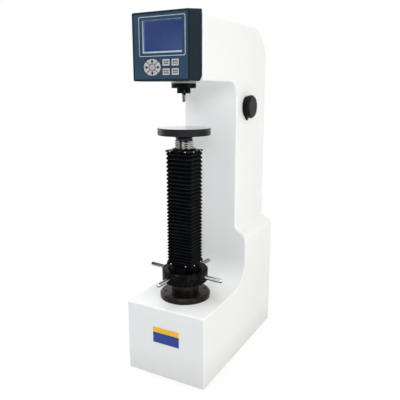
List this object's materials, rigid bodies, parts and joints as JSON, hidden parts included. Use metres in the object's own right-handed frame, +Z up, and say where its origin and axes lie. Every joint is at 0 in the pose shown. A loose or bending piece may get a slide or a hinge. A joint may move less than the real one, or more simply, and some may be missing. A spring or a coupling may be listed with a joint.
{
  "type": "hardness tester",
  "caption": "Tall bench hardness tester with a hollow C frame, display box, hand-turned capstan, bellows-covered lead screw, round work table, indenter and load selector knob.",
  "frame": {"origin": "where the test axis (spindle and lead screw) meets the surface that the feet stand on, at the centre of the bench hole for the lead screw", "axes": "+Z up along the test axis, +Y from the front to the rear, +X to the right as seen from the front"},
  "size_m": [0.2624, 0.5287, 1.036],
  "materials": {
    "body_white": "satin enamel",
    "grey_paint": "satin enamel",
    "black_steel": "black oxide, satin",
    "burnished": "burnished, satin",
    "ground_steel": "ground",
    "dark_steel": "turned",
    "chrome": "polished",
    "bronze": "turned",
    "weight_iron": "turned",
    "light_alloy": "milled",
    "black_rubber": "matt",
    "bellows_cloth": "satin",
    "knob_black": "gloss",
    "housing_dark": "satin",
    "panel_navy": "satin film",
    "key_grey": "satin",
    "screen_blue": "lit screen",
    "clear": "clear",
    "circuit": "laminate",
    "plate_blue": "satin"
  },
  "bodies": {
    "stand": {"frame_body": "body_white", "feet": "black_rubber", "upper_rear_cover": "body_white", "lower_rear_cover": "body_white", "top_cover": "body_white", "cover_screws": "dark_steel", "front_plate": "plate_blue", "screw_base": "burnished", "guide_key": "dark_steel", "flange_screws": "black_steel", "thrust_bearing": "dark_steel", "bellows": "bellows_cloth", "bellows_base": "black_steel", "bellows_skirt": "bellows_cloth", "nose_plate": "grey_paint", "nose_flange": "black_steel", "nose_guard": "black_steel", "spindle_bush": "bronze", "fulcrum_block": "weight_iron", "depth_sensor": "light_alloy", "dashpot": "light_alloy", "loading_motor": "black_steel", "power_supply": "light_alloy", "load_dial": "knob_black", "display_housing": "housing_dark", "display_panel": "panel_navy", "display_lens": "clear", "screen_bezel": "key_grey", "lcd_module": "screen_blue", "key_board": "circuit", "power_inlet": "knob_black", "data_port": "chrome"},
    "capstan": {"capstan_ring": "black_steel", "capstan_spokes": "chrome", "lead_nut": "bronze"},
    "screw": {"lead_screw": "dark_steel", "work_table": "ground_steel", "bellows_cap": "black_steel"},
    "spindle": {"spindle": "dark_steel", "indenter": "chrome", "sensor_plunger": "chrome"},
    "clamp_screw": {"clamp_screw": "black_steel"},
    "lever": {"main_lever": "weight_iron"},
    "weights": {"weight_hanger": "dark_steel", "load_weights": "weight_iron"},
    "selector": {"selector_shaft": "dark_steel", "load_knob": "knob_black"},
    "load_cam": {"load_cam": "dark_steel"},
    "power_rocker": {"power_rocker": "knob_black"},
    "right_key": {"right_key": "key_grey"},
    "up_key": {"up_key": "key_grey"},
    "left_key": {"left_key": "key_grey"},
    "down_key": {"down_key": "key_grey"},
    "middle_key": {"middle_key": "key_grey"},
    "square_key_1": {"square_key_1": "key_grey"},
    "square_key_2": {"square_key_2": "key_grey"},
    "square_key_3": {"square_key_3": "key_grey"},
    "square_key_4": {"square_key_4": "key_grey"}
  },
  "joints": [
    {"name": "capstan_turn", "type": "hinge", "parent": "stand", "child": "capstan", "pos_m": [0, 0, 0.295], "axis": [0, 0, 1], "range_deg": [-4181, 14700]},
    {"name": "screw_lift", "type": "slide", "parent": "stand", "child": "screw", "axis": [0, 0, 1], "range_m": [-0.245, 0.0697], "deforming": ["bellows"]},
    {"name": "lever_tilt", "type": "hinge", "parent": "stand", "child": "lever", "pos_m": [0, -0.016, 0.94], "axis": [1, 0, 0], "range_deg": [0, 3.4]},
    {"name": "spindle_stroke", "type": "slide", "parent": "stand", "child": "spindle", "axis": [0, 0, 1], "range_m": [0, 0.00096]},
    {"name": "weights_lift", "type": "slide", "parent": "stand", "child": "weights", "axis": [0, 0, 1], "range_m": [0, 0.0191]},
    {"name": "clamp_screw_turn", "type": "hinge", "parent": "spindle", "child": "clamp_screw", "pos_m": [0.00299, -0.00299, 0.83], "axis": [0.5, -0.5, -0.7071], "range_deg": [0, 720]},
    {"name": "load_knob_turn", "type": "hinge", "parent": "stand", "child": "selector", "pos_m": [0, 0.2315, 0.786], "axis": [1, 0, 0], "range_deg": [-40, 100]},
    {"name": "load_cam_turn", "type": "hinge", "parent": "stand", "child": "load_cam", "pos_m": [0.024, 0.304, 0.518], "axis": [1, 0, 0], "continuous": true},
    {"name": "power_switch_rock", "type": "hinge", "parent": "stand", "child": "power_rocker", "pos_m": [0.06, 0.3905, 0.128], "axis": [1, 0, 0], "range_deg": [0, 16]},
    {"name": "right_key_press", "type": "slide", "parent": "stand", "child": "right_key", "axis": [0, 1, 0], "range_m": [0, 0.0008], "stiffness_N_per_m": 800},
    {"name": "up_key_press", "type": "slide", "parent": "stand", "child": "up_key", "axis": [0, 1, 0], "range_m": [0, 0.0008], "stiffness_N_per_m": 800},
    {"name": "left_key_press", "type": "slide", "parent": "stand", "child": "left_key", "axis": [0, 1, 0], "range_m": [0, 0.0008], "stiffness_N_per_m": 800},
    {"name": "down_key_press", "type": "slide", "parent": "stand", "child": "down_key", "axis": [0, 1, 0], "range_m": [0, 0.0008], "stiffness_N_per_m": 800},
    {"name": "middle_key_press", "type": "slide", "parent": "stand", "child": "middle_key", "axis": [0, 1, 0], "range_m": [0, 0.0008], "stiffness_N_per_m": 800},
    {"name": "square_key_1_press", "type": "slide", "parent": "stand", "child": "square_key_1", "axis": [0, 1, 0], "range_m": [0, 0.0008], "stiffness_N_per_m": 800},
    {"name": "square_key_2_press", "type": "slide", "parent": "stand", "child": "square_key_2", "axis": [0, 1, 0], "range_m": [0, 0.0008], "stiffness_N_per_m": 800},
    {"name": "square_key_3_press", "type": "slide", "parent": "stand", "child": "square_key_3", "axis": [0, 1, 0], "range_m": [0, 0.0008], "stiffness_N_per_m": 800},
    {"name": "square_key_4_press", "type": "slide", "parent": "stand", "child": "square_key_4", "axis": [0, 1, 0], "range_m": [0, 0.0008], "stiffness_N_per_m": 800}
  ],
  "couplings": [
    {"joint": "screw_lift", "follows": "capstan_turn", "m_per_rad": -0.00095493},
    {"joint": "spindle_stroke", "follows": "lever_tilt", "m_per_rad": 0.016},
    {"joint": "weights_lift", "follows": "lever_tilt", "m_per_rad": 0.32}
  ]
}
